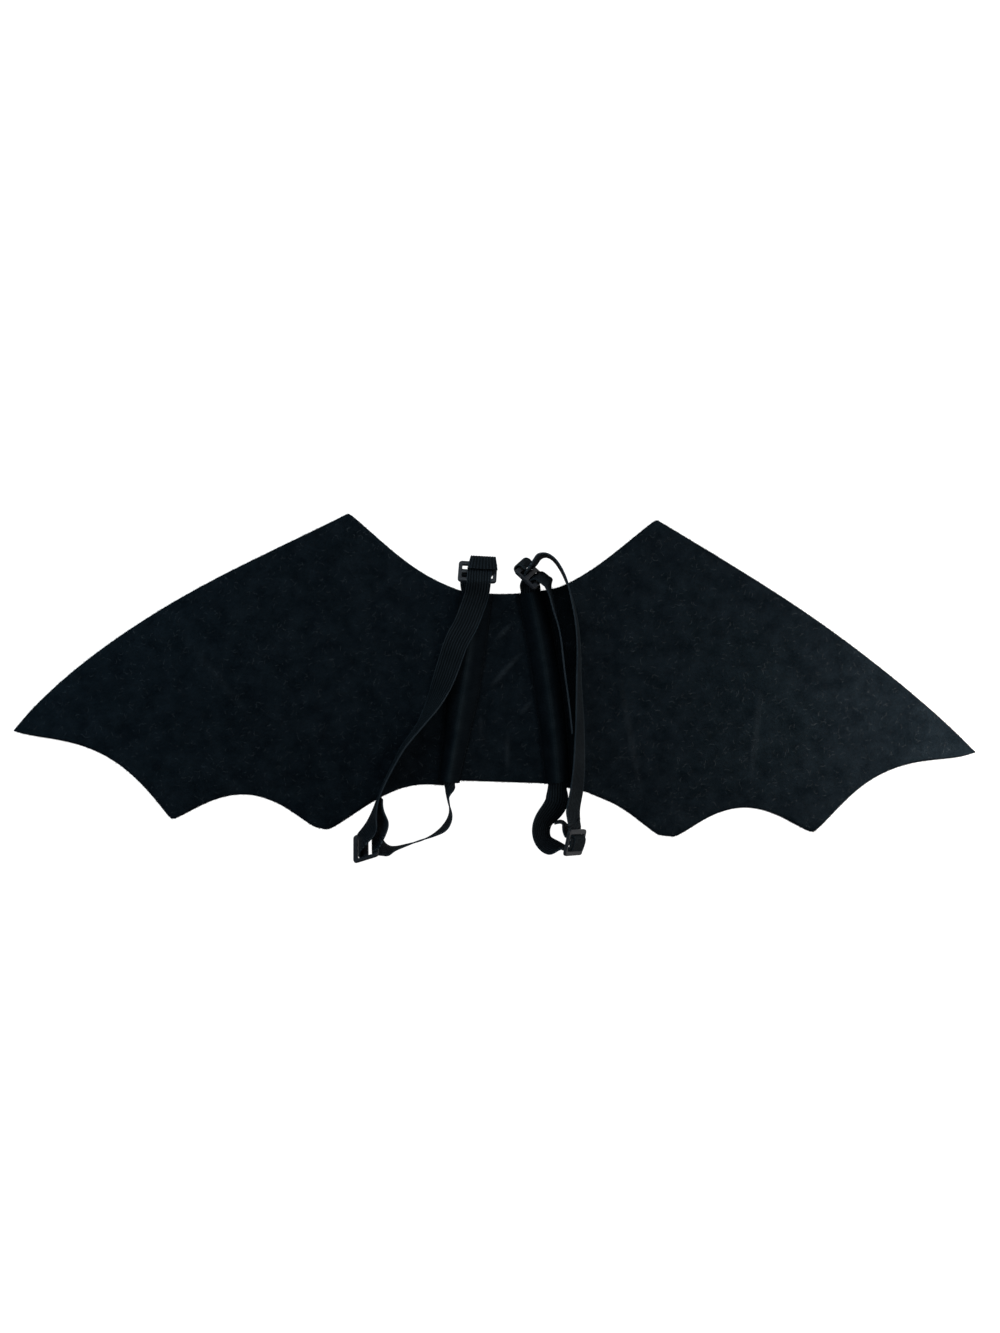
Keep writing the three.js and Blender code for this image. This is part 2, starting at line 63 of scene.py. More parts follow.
# Loose fibres of the felt
FIBRES_ON_FACE = 15000
FIBRES_ON_CUT = 3600
FIBRE_POINTS = 4
FIBRE_SEED = 11
PALE_SHARE = 0.16
FACE_FIBRES = dict(length=(1.6, 4.6), width=(0.10, 0.2), bend=(-1.4, 1.4), rise=(0.02, 0.16))
FACE_HEADING = (0.6, 1.1)  # mean and spread, radians
FACE_X, FACE_LOW, FACE_HIGH = WING_HALF_SPAN - 6, -125, 145  # where they are strewn
FACE_MARGIN = 2.5
FACE_CLEAR = 0.06
CUT_FIBRES = dict(length=(0.8, 2.2), width=(0.06, 0.12), bend=(-1.2, 1.2))
CUT_FIBRE_RISE = 0.1
CUT_HEADING = (1.57, 0.9)
CUT_X = WING_HALF_SPAN - 2
CUT_HEIGHT = (0.5, 1.5)

# Sleeves
SEAM_GAP = 0.3
SLEEVE_WALL = 1.5
SLEEVE_HEM = 2.4
SLEEVE_FULLNESS = 0.6
SLEEVE_ROOM = 0.5
SLEEVE_STEP = 1.3
SLEEVE_ACROSS = 44
PUCKER = 0.16
SLEEVE_RIDGE = 1.1  # height of the fold along the crest
SLEEVE_RIDGE_HALF = 2.2
SLEEVE_FOLDS = [
    dict(along=9, across=4, seed=7.7, height=0.32),
    dict(along=23, across=7, seed=1.2, height=0.3),
]
FOLD_BIAS = 0.1
CREST_REACH = 16  # from the crest to where the painted highlight on it and the painted shade on its flanks end

# Elastic
ELASTIC_WIDTH = 20
ELASTIC_THICK = 1.25
ELASTIC_MIDDLE = 0.6  # from the upper face to the middle, inside a sleeve
ELASTIC_STEP = 1.1
RIBS = 9
RIB_COLUMNS = 6
EASE_PASSES = 14  # how far the loose runs even out their twists
RIB_VALLEY = 0.5  # thickness between two ribs as a share of that on a rib
RIB_ROUND = 0.8
FLARED_ENDS = {"anchor_strap_left": 0.25}  # how much wider a loose first end spreads
FLARE_REACH = 16

# Slides
SLIDE_WIDTH = 32
SLIDE_LENGTH = 22
SLIDE_THICK = 2.6
SLIDE_BAR = 4.0
SLIDE_RAIL = 3.2
SLIDE_CORNER = 3.0
SLIDE_CORNER_STEPS = 6
SLIDE_ROUND = 0.6
SLIDE_ROUND_STEPS = 3
SLIDE_ROUND_ANGLE = 50
SLIDE_NEAR = 0.1  # how close to the plate's outline a corner lies

# Sewing
STITCH_LENGTH = 2.7
STITCH_PITCH = 3.4
STITCH_HALF_WIDTH = 0.27
STITCH_HALF_HEIGHT = 0.2
STITCH_ROW_PITCH = 1.6
STITCHES_ACROSS = 6
END_STITCH_RISE = 0.04
SEAM_STITCH_RISE = 0.05
SEAM_INSET = 0.42  # from the sleeve's edge, as a share of its hem
SEAM_START = 2
SEAM_SHORTER = 3
SEAM_NUDGE = 0.004  # share of the length over which a stitch's direction is taken

# Angles, in degrees, up to which faces are shaded smooth
CLOTH_SMOOTH = 60
SLIDE_SMOOTH = 35
FINE_SMOOTH = 70


def corner(x, y, rise=0, peak=0.5, ease=1):
    """A corner of the felt, and the height, peak and ease of the bow that leads to it."""
    return dict(x=x, y=y, rise=rise, peak=peak, ease=ease)


# Upper and lower edge of the felt, from left to right
UPPER_EDGE = [
    corner(-WING_HALF_SPAN, -36.4),
    corner(-122, 145, 22.7, 0.37, 1.27),
    corner(-30.9, 81.1, -6.8, 0.58, 1.17),
    corner(54.3, 83.6, -4.5, 0.5, 1),
    corner(134.6, 139.8, -4, 0.38, 1.65),
    corner(WING_HALF_SPAN, -54.3, 14.4, 0.58, 0.9),
]
LOWER_EDGE = [
    corner(-WING_HALF_SPAN, -36.4),
    corner(-269.2, -110.4, 21.5, 0.58, 1.1),
    corner(-148.8, -117.4, 24, 0.51, 1.29),
    corner(-138.8, -118.9),
    corner(-41, -82.4, 11.6, 0.58, 1.2),
    corner(-32.6, -78.2),
    corner(45.1, -80.7),
    corner(77.7, -88.2),
    corner(136.3, -123.6, 3.8, 0.46, 1.9),
    corner(148.8, -125),
    corner(265, -121.2, 22.2, 0.5, 1.4),
    corner(WING_HALF_SPAN, -54.3, 20, 0.44, 1.7),
]

# Where the lying felt lifts off the floor
SWELLS = [
    dict(x=-400, y=-36, reach=150, height=5.5),
    dict(x=400, y=-54, reach=120, height=4),
    dict(x=-130, y=150, reach=95, height=4.5),
    dict(x=140, y=145, reach=80, height=3),
    dict(x=-272, y=-112, reach=75, height=5),
    dict(x=-146, y=-122, reach=45, height=2.5),
    dict(x=266, y=-122, reach=65, height=4),
    dict(x=143, y=-128, reach=45, height=2.5),
    dict(x=-225, y=20, reach=85, height=2.2),
    dict(x=235, y=5, reach=85, height=1.8),
]

# Creases pressed into the felt: ends, half width and height
CREASES = [
    dict(a=(1.7, 40.1), b=(13.4, 52.7), half=2.6, height=1.3),
    dict(a=(-3.3, 0.8), b=(21.7, 28.4), half=2.6, height=1.3),
    dict(a=(21.7, -22.6), b=(30, -11.7), half=2.6, height=1.2),
    dict(a=(-12, -25.1), b=(-10, -44.3), half=2.4, height=1),
    dict(a=(10.9, -37.6), b=(10.9, -69.4), half=2.4, height=1),
    dict(a=(221.5, -2.5), b=(213.2, -77.8), half=4, height=0.7),
    dict(a=(104.5, 5.9), b=(121.2, -86.1), half=4.5, height=0.6),
    dict(a=(-262, 46), b=(-205, -24), half=6, height=0.5),
]

# Sleeves: middle line, sideways bow and sections
SLEEVES = {
    "left": dict(
        top=(-15.5, 77.5),
        hem=(-38.6, -78.8),
        bow=0.8,
        sections=[
            dict(share=0, half=14, rise=5.6, curl=80),
            dict(share=0.5, half=14.5, rise=5.6, curl=80),
            dict(share=0.8, half=11.2, rise=7.6, curl=158),
            dict(share=1, half=9.2, rise=9.2, curl=236),
        ],
    ),
    "right": dict(
        top=(29.7, 78.4),
        hem=(52.3, -79.4),
        bow=3.2,
        sections=[
            dict(share=0, half=12, rise=7, curl=132),
            dict(share=0.5, half=12.6, rise=6.7, curl=122),
            dict(share=1, half=11.4, rise=7.5, curl=152),
        ],
    ),
}

# Slides: centre, heading and pitch of the bars, heading of the far bar, and its tip
SLIDES = {
    "top_left": dict(x=-14.4, y=95.2, z=11.4, bars=-3, pitch=0, far=87, tip=-38),
    "bottom_left": dict(x=-106.4, y=-131, z=15.2, bars=-82, pitch=54, far=203, tip=0),
    "top_right": dict(x=29.2, y=92.8, z=15.6, bars=47, pitch=-62, far=138, tip=0),
    "bottom_right": dict(x=66, y=-128, z=16, bars=-10, pitch=-61, far=258, tip=0),
}

# Ways round the bars of a slide, as steps of (v, w): towards its far bar, and off its face
WAYS = {
    "roll_on_far_bar": [
        (-6, -7.4), (0, -5.8), (8, -4.7), (13, -3.2), (15.2, 0.2),
        (14.2, 3.8), (10.8, 5.7), (7.2, 5.7), (3.4, 5.1), (-0.6, 4.7),
    ],
    "round_middle_bar": [
        (-13, 2.2), (-9.5, 2.7), (-4, 2.6), (0, 2.6), (2.6, 1.9), (3.3, 0),
        (2.6, -1.8), (0, -2.5), (-2.6, -2.3), (-5, -2.2),
    ],
    "round_far_bar": [
        (0.5, -4.6), (5, -4.2), (9, -3.8), (12.4, -2.4), (13.4, 0.4),
        (12.2, 3.2), (9.4, 4.4), (6.9, 4.1), (5.8, 4.3),
    ],
    "through_both_slots": [
        (-15.5, 4.6), (-12, 4.4), (-9, 4.3), (-5.4, 3.5), (-3.6, 0.8), (-2.6, -1.8), (0, -2.5),
        (2.6, -1.8), (3.6, 0.6), (4.3, 2.8), (4.7, 5.4),
    ],
    "far_slot_and_middle_bar": [
        (-1.5, -9.5), (2.6, -6.4), (4.8, -3.4), (5.4, -0.8), (4.6, 1.6), (2.2, 2.7), (-0.8, 2.6),
    ],
    "round_near_bar": [
        (-12.8, 4.8), (-9.6, 3), (-7.4, 2.5), (-6.1, 1.4), (-5.9, 0),
        (-6.1, -1.4), (-7.4, -2.6), (-9.6, -3.1), (-12.4, -4), (-14.8, -6),
    ],
    "middle_bar_and_back": [
        (6.8, 6.6), (6.7, 3.4), (6.6, 1), (5.6, -0.8), (3.2, -1.9), (0, -2.05),
        (-2.4, -1.95), (-3.5, -1.1), (-4, 0.9), (-4.2, 4.5),
    ],
    "behind_near_bar": [
        (-15, 3.2), (-12, 3), (-9.5, 2.7), (-7.4, 2.5), (-6.1, 1.4), (-5.7, 0),
        (-5.2, -1.8), (-3.7, -3.1), (-0.6, -3.5), (2.8, -3.2), (6.6, -2.6),
    ],
}


def sleeve_at(side, share):
    """Place, sideways direction and section of a sleeve at a share of its length."""
    row = SLEEVES[side]
    sections = row["sections"]
    k = max(1, next(i for i, section in enumerate(sections) if section["share"] >= share - 1e-9))
    a, b = sections[k - 1], sections[k]
    between = (share - a["share"]) / (b["share"] - a["share"])
    mix = {key: a[key] + (b[key] - a[key]) * between for key in ("half", "rise", "curl")}
    top, hem = Vector(row["top"]), Vector(row["hem"])
    run = hem - top
    cross = Vector((-run.y, run.x)).normalized()
    place = top + run * share + cross * (4 * row["bow"] * share * (1 - share))
    return place, cross, mix["half"], mix["rise"], mix["curl"]


def point(x, y, z, lean, curl=0):
    """A row of a strap's table."""
    return dict(x=x, y=y, z=z, lean=lean, curl=curl, slide=None)


def in_sleeve(side):
    """Rows of a strap inside its sleeve."""
    rows = []
    for share in (0, 0.06, 0.25, 0.5, 0.65, 0.8, 0.94, 1):
        place, cross, half, rise, curl = sleeve_at(side, share)
        height = FELT_THICK + SEAM_GAP + rise - SLEEVE_ROOM - ELASTIC_MIDDLE
        rows.append(point(place.x, place.y, height, 0, curl))
    return rows


def threaded(slide, way, aside=0, slant=0):
    """Rows of a strap round the bars of a slide; slant is how far its first steps lie off to the side."""
    rows = []
    for n, (v, w) in enumerate(WAYS[way]):
        rows.append(dict(slide=slide, v=v, w=w, aside=aside + slant * max(0, 1 - n / 2), curl=0))
    return rows


STRAPS = {
    "anchor_strap_left": [
        *reversed(threaded("top_left", "roll_on_far_bar", 4, -10)),
        point(-20, 85.6, 6.4, 0, 12),
        point(-17.6, 81, 5.8, 0, 56),
        *in_sleeve("left"),
        point(-40.4, -82.4, 11, 56, 196),
        point(-40.6, -86.6, 11.2, 84, 104),
        point(-39.6, -91.2, 11.2, 90, 40),
        point(-38, -97, 11.2, 88),
        point(-36.4, -105.4, 11, 82),
        point(-40.5, -115.4, 11, 78),
        point(-50.5, -122.4, 11, 90),
        point(-62.1, -127.2, 11, 97),
        point(-74.5, -131.2, 11.2, 92),
        point(-82.5, -133.6, 11.6, 88),
        point(-88.6, -134.4, 12.8, 78),
        *threaded("bottom_left", "round_near_bar", 2),
        point(-92.9, -113, 15.4, -60),
        point(-94.8, -105.5, 13.4, -64),
        point(-95.2, -98.5, 12.8, -72),
        point(-93.6, -92, 12.6, -82),
    ],
    "shoulder_strap_left": [
        *reversed(threaded("top_left", "round_middle_bar", 1.6)),
        point(-14.8, 77, 13.8, 0),
        point(-18.2, 67, 12, 2),
        point(-24, 52, 11.8, 5),
        point(-31.6, 38, 11.8, 10),
        point(-42, 8, 10.6, 26),
        point(-50.2, -11.6, 10.6, 50),
        point(-62.7, -32.4, 12.2, 75),
        point(-75.6, -49, 12.6, 79),
        point(-84.6, -65.7, 12.6, 83),
        point(-92.8, -82.4, 12.6, 84),
        point(-97.2, -94, 12.6, 83),
        point(-99.6, -103, 12.8, 77),
        point(-101.6, -110.5, 13.8, 68),
        point(-103.8, -117, 16.4, 58),
        *threaded("bottom_left", "far_slot_and_middle_bar", 1.8),
    ],
    "anchor_strap_right": [
        *reversed(threaded("top_right", "round_far_bar", 2)),
        point(29, 86.4, 12, -34, 60),
        point(30.2, 81.4, 9, -6, 126),
        *in_sleeve("right"),
        point(51.9, -85, 8.6, -2, 160),
        point(52.2, -90, 8.2, -6, 96),
        point(51.2, -96.5, 7.6, -12, 14),
        point(46.4, -103.5, 7.8, -24),
        point(40.6, -110, 8.2, -36),
        point(38.1, -119.2, 8.6, -42),
        point(40.2, -128, 9.4, -48),
        point(47, -132.8, 10.6, -54),
        *threaded("bottom_right", "middle_bar_and_back", -2.7),
        point(58.8, -114.6, 11.6, 78),
        point(55.4, -110.8, 11.2, 88),
        point(49, -112.8, 11.2, 93),
    ],
    "shoulder_strap_right": [
        point(63.9, -38, 12.6, 88),
        point(61.3, -13.9, 12.6, 88),
        point(57.9, 11, 12.6, 88),
        point(53.6, 45.7, 12.6, 88),
        point(48.8, 65.4, 12.8, 82),
        point(46.2, 77, 13.6, 80),
        point(44.2, 83.4, 15, 76),
        *threaded("top_right", "through_both_slots", 2.4),
        point(33.8, 104.4, 14, 72),
        point(38, 108.2, 12.4, 82),
        point(42.8, 109.4, 11.4, 88),
        point(47.9, 106.8, 11.2, 88),
        point(52.6, 101.2, 11.3, 88.5),
        point(56.6, 94, 11.8, 89),
        point(60, 85.6, 12.6, 90.5),
        point(63.7, 73, 12.6, -84),
        point(67.6, 53.9, 12.6, -82),
        point(69.4, 32.4, 12.6, -80),
        point(69.4, 5.9, 12.6, -77),
        point(70.2, -31.3, 12.4, -68),
        point(69.4, -68.5, 11.6, -60),
        point(67.6, -86, 11.4, -56),
        point(64.6, -103, 11.8, -56),
        *threaded("bottom_right", "behind_near_bar", 1.6, -4),
    ],
}

# Sewn ends: strap, which end, distance of the first row of stitches from it, and rows of stitches
SEWN_ENDS = [
    dict(strap="anchor_strap_left", end="last", inset=2.0, rows=4),
    dict(strap="anchor_strap_right", end="last", inset=2.0, rows=3),
    dict(strap="anchor_strap_right", end="first", inset=1.6, rows=2),
    dict(strap="shoulder_strap_left", end="last", inset=1.6, rows=2),
    dict(strap="shoulder_strap_right", end="first", inset=2.0, rows=3),
]


# Materials

def grey(level):
    return (level, level, level)


# Colour ramps: places on the ramp and colours
RAMPS = {
    "felt_ground": [(0.34, (0.0010, 0.0018, 0.0026)), (0.66, (0.0025, 0.0040, 0.0054))],
    "felt_flecks": [(0.5, grey(0)), (0.95, (0.0036, 0.0048, 0.0060))],
    "felt_grain": [(0.3, grey(0.55)), (0.7, grey(1.3))],
    "felt_crease_highlight": [(0.1, grey(0)), (1.0, (0.0034, 0.0041, 0.0047))],
    "sleeve_ground": [(0.3, (0.0010, 0.0018, 0.0025)), (0.7, (0.0021, 0.0032, 0.0041))],
    "sleeve_weave": [(0.2, grey(0.55)), (1.0, grey(1.25))],
    "sleeve_crest_highlight_and_shade": [(0.04, (1.5, 1.48, 1.45)), (0.14, (0.95, 0.96, 0.98)), (0.36, (0.55, 0.58, 0.62))],
    "elastic_ground": [(0.3, (0.0021, 0.0033, 0.0044)), (0.7, (0.0036, 0.0052, 0.0066))],
    "elastic_knit_and_rib_shading": [(0.0, grey(0.22)), (0.7, grey(1.65))],
    "elastic_edge_highlight": [(0.84, grey(0.95)), (0.92, grey(1.8))],
    "plastic_scuffs": [(0.35, (0.0034, 0.0042, 0.0056)), (0.75, (0.0062, 0.0074, 0.0092))],
    "thread_twist": [(0.1, (0.0014, 0.0020, 0.0026)), (0.9, (0.0034, 0.0042, 0.0050))],
}
PALE_FIBRE = (0.0150, 0.0180, 0.0205)
DARK_FIBRE = (0.0030, 0.0040, 0.0050)
PLASTIC_ROUGHNESS = (0.34, 0.52)


def fresh_material(name):
    """A new material with its shader, its node list and a function that links two sockets."""
    made = bpy.data.materials.new(name)
    made.use_nodes = True
    nodes = made.node_tree.nodes
    shader = nodes["Principled BSDF"]
    return made, shader, nodes, made.node_tree.links.new


def stretched(nodes, link, source, scale):
    """Texture coordinates of this kind, stretched by a Mapping node."""
    where = nodes.new("ShaderNodeTexCoord")
    mapping = nodes.new("ShaderNodeMapping")
    mapping.inputs["Scale"].default_value = scale
    link(where.outputs[source], mapping.inputs["Vector"])
    return mapping.outputs["Vector"]


def cloud(nodes, link, vector, scale, detail=4.0, rough=0.6, distortion=0.0, kind="FBM"):
    """A noise pattern."""
    made = nodes.new("ShaderNodeTexNoise")
    made.noise_type = kind
    made.inputs["Scale"].default_value = scale
    made.inputs["Detail"].default_value = detail
    made.inputs["Roughness"].default_value = rough
    made.inputs["Distortion"].default_value = distortion
    link(vector, made.inputs["Vector"])
    return made.outputs[0]


def off_middle(nodes, link, vector, reach):
    """Distance from the middle line of a strip: 0 on the line, 1 at that reach."""
    parts = nodes.new("ShaderNodeSeparateXYZ")
    link(vector, parts.inputs["Vector"])
    gap = summed(nodes, link, "ABSOLUTE", parts.outputs["X"], 0.0)
    return summed(nodes, link, "DIVIDE", gap, reach)


def threads(nodes, link, vector, scale, direction, distortion=0.0):
    """Parallel threads across a direction."""
    made = nodes.new("ShaderNodeTexWave")
    made.bands_direction = direction
    made.inputs["Scale"].default_value = scale
    made.inputs["Distortion"].default_value = distortion
    link(vector, made.inputs["Vector"])
    return made.outputs["Fac"]


def toned(nodes, link, value, name):
    """Colours along a value, from the ramp of that name."""
    stops = RAMPS[name]
    ramp = nodes.new("ShaderNodeValToRGB")
    keys = ramp.color_ramp.elements
    while len(keys) < len(stops):
        keys.new(0.5)
    for key, (place, colour) in zip(keys, stops):
        key.position = place
        key.color = (*colour, 1)
    link(value, ramp.inputs["Fac"])
    return ramp.outputs["Color"]


def blended(nodes, link, how, share, a, b):
    """Two colours mixed; share is a number or a socket."""
    made = nodes.new("ShaderNodeMix")
    made.data_type = "RGBA"
    made.blend_type = how
    if isinstance(share, float):
        made.inputs[0].default_value = share
    else:
        link(share, made.inputs[0])
    link(a, made.inputs[6])
    link(b, made.inputs[7])
    return made.outputs[2]


def summed(nodes, link, how, a, b):
    """Two values put together; b may be a number."""
    made = nodes.new("ShaderNodeMath")
    made.operation = how
    link(a, made.inputs[0])
    if isinstance(b, float):
        made.inputs[1].default_value = b
    else:
        link(b, made.inputs[1])
    return made.outputs[0]


def raised(nodes, link, shader, height, strength, distance):
    """Bump from a height pattern."""
    bump = nodes.new("ShaderNodeBump")
    bump.inputs["Strength"].default_value = strength
    bump.inputs["Distance"].default_value = distance
    link(height, bump.inputs["Height"])
    link(bump.outputs["Normal"], shader.inputs["Normal"])


def finished(shader, roughness, specular):
    """How rough the surface is and how much it shines; a roughness of None is left to a pattern."""
    if roughness is not None:
        shader.inputs["Roughness"].default_value = roughness
    shader.inputs["Specular IOR Level"].default_value = specular


def felt_material():
    made, shader, nodes, link = fresh_material("black_felt")
    where = stretched(nodes, link, "Object", (1, 1, 1))
    patches = cloud(nodes, link, where, scale=75, detail=5, rough=0.7)
    ground = toned(nodes, link, patches, "felt_ground")
    flecks = cloud(nodes, link, where, scale=210, detail=3, distortion=0.9, kind="RIDGED_MULTIFRACTAL")
    light = toned(nodes, link, flecks, "felt_flecks")
    grain = cloud(nodes, link, where, scale=900, detail=5, rough=0.7)
    depth = toned(nodes, link, grain, "felt_grain")
    mixed = blended(nodes, link, "ADD", 1.0, ground, light)
    # Painted highlight: the felt is made paler along its pressed creases, as light caught on their ridges.
    crease_highlight_mask = nodes.new("ShaderNodeAttribute")
    crease_highlight_mask.attribute_name = "creased"
    pale = toned(nodes, link, crease_highlight_mask.outputs["Fac"], "felt_crease_highlight")
    mixed = blended(nodes, link, "ADD", 1.0, mixed, pale)
    link(blended(nodes, link, "MULTIPLY", 0.8, mixed, depth), shader.inputs["Base Color"])
    finished(shader, roughness=0.95, specular=0.004)
    height = summed(nodes, link, "ADD", grain, flecks)
    raised(nodes, link, shader, height, strength=0.55, distance=0.0007)
    return made


def sleeve_material():
    made, shader, nodes, link = fresh_material("black_sleeve_cloth")
    along = stretched(nodes, link, "UV", (1, 1, 1))
    warp = threads(nodes, link, along, 260, "X", distortion=1.2)
    weft = threads(nodes, link, along, 260, "Y", distortion=1.2)
    weave = summed(nodes, link, "ADD", warp, weft)
    patches = cloud(nodes, link, along, scale=70)
    ground = toned(nodes, link, patches, "sleeve_ground")
    lines = toned(nodes, link, weave, "sleeve_weave")
    cloth = blended(nodes, link, "MULTIPLY", 0.7, ground, lines)
    # Painted light and shade: the sleeve is made lighter along its crest, as a highlight, and darker on its
    # flanks, as shade.
    crest_light_mask = off_middle(nodes, link, along, CREST_REACH * MM)
    crest = toned(nodes, link, crest_light_mask, "sleeve_crest_highlight_and_shade")
    link(blended(nodes, link, "MULTIPLY", 1.0, cloth, crest), shader.inputs["Base Color"])
    finished(shader, roughness=0.85, specular=0.006)
    raised(nodes, link, shader, weave, strength=0.35, distance=0.0003)
    return made


def elastic_material():
    made, shader, nodes, link = fresh_material("black_ribbed_elastic")
    along = stretched(nodes, link, "UV", (1, 1, 1))
    knit = threads(nodes, link, along, 330, "Y", distortion=0.6)
    cords = threads(nodes, link, along, math.pi / 10 * RIBS / (ELASTIC_WIDTH * MM), "X")
    patches = cloud(nodes, link, along, scale=45)
    ground = toned(nodes, link, patches, "elastic_ground")
    # Knit lines, together with painted light and shade of the ribs, as stripes at the ribs' pitch.
    lines = toned(nodes, link, summed(nodes, link, "MULTIPLY", knit, cords), "elastic_knit_and_rib_shading")
    band = blended(nodes, link, "MULTIPLY", 1.0, ground, lines)
    # Painted highlight: the band is made lighter along both its edges, as light caught on them.
    edge_highlight_mask = off_middle(nodes, link, along, ELASTIC_WIDTH / 2 * MM)
    edges = toned(nodes, link, edge_highlight_mask, "elastic_edge_highlight")
    link(blended(nodes, link, "MULTIPLY", 1.0, band, edges), shader.inputs["Base Color"])
    finished(shader, roughness=0.7, specular=0.012)
    height = summed(nodes, link, "ADD", knit, cords)
    raised(nodes, link, shader, height, strength=0.4, distance=0.00025)
    return made


def plastic_material():
    made, shader, nodes, link = fresh_material("black_moulded_plastic")
    where = stretched(nodes, link, "Object", (1, 1, 1))
    grain = cloud(nodes, link, where, scale=2600)
    scuffs = cloud(nodes, link, where, scale=320, detail=5, rough=0.65, distortion=1.5)
    link(toned(nodes, link, scuffs, "plastic_scuffs"), shader.inputs["Base Color"])
    wear = nodes.new("ShaderNodeMapRange")
    wear.inputs["To Min"].default_value, wear.inputs["To Max"].default_value = PLASTIC_ROUGHNESS
    link(scuffs, wear.inputs["Value"])
    link(wear.outputs["Result"], shader.inputs["Roughness"])
    finished(shader, roughness=None, specular=0.05)
    raised(nodes, link, shader, grain, strength=0.12, distance=0.0001)
    return made


def thread_material():
    made, shader, nodes, link = fresh_material("black_sewing_thread")
    where = stretched(nodes, link, "Object", (1, 1, 1))
    twist = threads(nodes, link, where, 900, "DIAGONAL", distortion=0.5)
    link(toned(nodes, link, twist, "thread_twist"), shader.inputs["Base Color"])
    finished(shader, roughness=0.6, specular=0.01)
    return made


def fibre_material(name, colour):
    made, shader, *_ = fresh_material(name)
    shader.inputs["Base Color"].default_value = (*colour, 1)
    finished(shader, roughness=0.8, specular=0.004)
    return made


# Shaping tools

def start_grid(name, columns, rows):
    """A flat grid of that many faces, to be laid in place."""
    bpy.ops.mesh.primitive_grid_add(x_subdivisions=columns, y_subdivisions=rows, size=1)
    piece = bpy.context.object
    piece.name = name
    piece.data.name = name
    return piece


def lay_grid(piece, columns, rows, places, across_m, along_m):
    """Moves the grid's points to places[row][column], and its UVs to the cloth's own lengths; gives
    back the row and column of each point."""
    mesh = piece.data
    flat = np.empty(len(mesh.vertices) * 3)
    mesh.vertices.foreach_get("co", flat)
    flat = flat.reshape(-1, 3)
    column = np.rint((flat[:, 0] + 0.5) * columns).astype(int)
    row = np.rint((flat[:, 1] + 0.5) * rows).astype(int)
    laid = np.asarray(places)[row, column] * MM
    mesh.vertices.foreach_set("co", laid.ravel())
    used = np.empty(len(mesh.loops), int)
    mesh.loops.foreach_get("vertex_index", used)
    uv = np.stack([np.asarray(across_m)[column[used]], np.asarray(along_m)[row[used]]], 1)
    mesh.uv_layers.active.data.foreach_set("uv", uv.ravel())
    mesh.update()
    return row, column


def weigh(piece, name, weights):
    """A vertex group with a weight for each point, in steps of a hundredth."""
    group = piece.vertex_groups.new(name=name)
    steps = np.rint(np.asarray(weights) * 100).astype(int)
    for step in np.unique(steps):
        group.add([int(i) for i in np.where(steps == step)[0]], step / 100, "REPLACE")
    return group.name


def choose(piece):
    """Makes a piece the active one and the only one selected."""
    bpy.ops.object.select_all(action="DESELECT")
    piece.select_set(True)
    bpy.context.view_layer.objects.active = piece


def apply_all(piece):
    choose(piece)
    for modifier in list(piece.modifiers):
        bpy.ops.object.modifier_apply(modifier=modifier.name)


def smooth(piece, degrees):
    choose(piece)
    bpy.ops.object.shade_smooth_by_angle(angle=math.radians(degrees))


def thicken(piece, thickness, offset, group=None):
    """A wall on the grid, applied."""
    wall = piece.modifiers.new("wall", "SOLIDIFY")
    wall.thickness = thickness * MM
    wall.offset = offset
    wall.use_even_offset = False
    if group:
        wall.vertex_group = group
    apply_all(piece)


def dress(piece, material, slot, *nodes):
    """Gives a piece its material and its place in the model."""
    piece.data.materials.clear()
    piece.data.materials.append(material)
    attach(piece, "root")
    if nodes:
        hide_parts(*nodes)


def joined_mesh(name, points, faces):
    """One mesh of many small repeated shapes, from arrays."""
    mesh = bpy.data.meshes.new(name)
    points = np.asarray(points, float)
    faces = np.asarray(faces, int)
    mesh.vertices.add(len(points))
    mesh.vertices.foreach_set("co", (points * MM).ravel())
    size = faces.shape[1]
    mesh.loops.add(faces.size)
    mesh.loops.foreach_set("vertex_index", faces.ravel())
    mesh.polygons.add(len(faces))
    mesh.polygons.foreach_set("loop_start", np.arange(len(faces)) * size)
    mesh.update(calc_edges=True)
    mesh.validate()
    piece = bpy.data.objects.new(name, mesh)
    bpy.context.collection.objects.link(piece)
    return piece


# Felt panel

def edge_height(edge, x):
    """Height of an edge's line in the plane of the felt, with sharp corners."""
    at = min(WING_HALF_SPAN, max(-WING_HALF_SPAN, x))
    k = max(1, next(i for i, end in enumerate(edge) if end["x"] >= at))
    a, b = edge[k - 1], edge[k]
    share = (at - a["x"]) / (b["x"] - a["x"])
    shifted = share ** (math.log(0.5) / math.log(b["peak"]))
    bow = b["rise"] * max(0.0, 4 * shifted * (1 - shifted)) ** b["ease"]
    return a["y"] + (b["y"] - a["y"]) * share + bow


def eased_edge(edge, x):
    """The same line with its corners eased."""
    before, after = edge_height(edge, x - CORNER_EASE), edge_height(edge, x + CORNER_EASE)
    return (before + 2 * edge_height(edge, x) + after) / 4


def lift(x, y):
    """How far the felt lifts off the floor at a place."""
    total = 0.0
    for swell in SWELLS:
        share = math.hypot(x - swell["x"], y - swell["y"]) / swell["reach"]
        if share < 1:
            total += swell["height"] * (1 - share * share) ** 2
    return total


def crease(x, y):
    """Height of the pressed creases at a place."""
    total = 0.0
    for row in CREASES:
        (ax, ay), (bx, by) = row["a"], row["b"]
        dx, dy = bx - ax, by - ay
        t = min(1.0, max(0.0, ((x - ax) * dx + (y - ay) * dy) / (dx * dx + dy * dy)))
        gap = math.hypot(x - ax - t * dx, y - ay - t * dy) / row["half"]
        if gap < 1:
            fade = CREASE_END + (1 - CREASE_END) * math.sin(math.pi * t)
            total += row["height"] * (1 - gap * gap) ** 2 * fade
    return total


